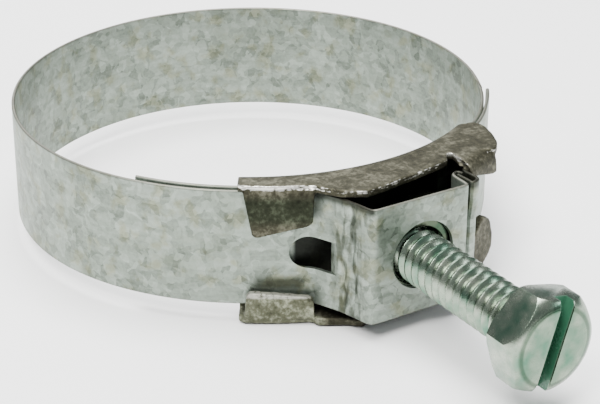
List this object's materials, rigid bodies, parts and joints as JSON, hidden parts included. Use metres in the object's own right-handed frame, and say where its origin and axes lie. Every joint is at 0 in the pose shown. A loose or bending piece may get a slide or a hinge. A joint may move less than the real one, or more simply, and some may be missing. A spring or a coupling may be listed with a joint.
{
  "type": "hose clamp",
  "caption": "Tower hose clamp: a hooked galvanised strip in a folded saddle, tightened by a slotted hex screw that lifts its tower.",
  "frame": {"origin": "on the hose's axis, at the middle of the strip's width", "axes": "+Z along the hose; the tower and the screw point towards -Y; +X to the right of the screw, seen from its head"},
  "size_m": [0.0591, 0.0898, 0.0174],
  "materials": {
    "galvanised_strip": "hot-dip galvanised with a mottled spangle, satin",
    "saddle_steel": "dull brownish grey pressed steel, worn bright on the bends",
    "bright_zinc": "bright zinc plating with a faint green tint"
  },
  "bodies": {
    "saddle": {"saddle": "saddle_steel", "band_left_foot": "galvanised_strip", "band_left_slack": "galvanised_strip", "band_left_leg": "galvanised_strip", "anchor_leg": "galvanised_strip", "anchor_shoulder": "galvanised_strip", "anchor_slack": "galvanised_strip"},
    "tower": {"tower_plate": "galvanised_strip", "captive_nut": "bright_zinc", "anchor_hook": "galvanised_strip"},
    "screw": {"clamp_screw": "bright_zinc"},
    "tongue": {"band_tongue": "galvanised_strip", "anchor_tail": "galvanised_strip"},
    "band_left": {"band_left_arc": "galvanised_strip"},
    "band_back": {"band_back_arc": "galvanised_strip"},
    "band_right": {"band_right_arc": "galvanised_strip"}
  },
  "joints": [
    {"name": "screw_turn", "type": "hinge", "parent": "saddle", "child": "screw", "pos_m": [0, -0.04, -0.00045], "axis": [0, 1, 0], "range_deg": [-720, 1440]},
    {"name": "tower_lift", "type": "slide", "parent": "saddle", "child": "tower", "axis": [0, -1, 0], "range_m": [-0.00254, 0.00508], "deforming": ["band_left_leg", "anchor_leg"]},
    {"name": "tongue_slide", "type": "hinge", "parent": "saddle", "child": "tongue", "pos_m": [0, 0, 0], "axis": [0, 0, 1], "range_deg": [-10, 5], "deforming": ["anchor_slack"]},
    {"name": "left_draw", "type": "hinge", "parent": "saddle", "child": "band_left", "pos_m": [0, 0, 0], "axis": [0, 0, 1], "range_deg": [-5, 10], "deforming": ["band_left_slack"]},
    {"name": "left_flex", "type": "hinge", "parent": "band_left", "child": "band_back", "pos_m": [-0.0299, 0, 0], "axis": [0, 0, 1], "range_deg": [-10, 5]},
    {"name": "right_flex", "type": "hinge", "parent": "band_back", "child": "band_right", "pos_m": [0.02875, 0, 0], "axis": [0, 0, 1], "range_deg": [-12, 6]}
  ],
  "couplings": [
    {"joint": "tower_lift", "follows": "screw_turn", "m_per_rad": 0.00020213},
    {"joint": "tongue_slide", "follows": "screw_turn", "ratio": -0.0069222},
    {"joint": "left_draw", "follows": "screw_turn", "ratio": 0.0069222},
    {"joint": "left_flex", "follows": "screw_turn", "ratio": -0.0069222},
    {"joint": "right_flex", "follows": "screw_turn", "ratio": -0.0079605}
  ]
}
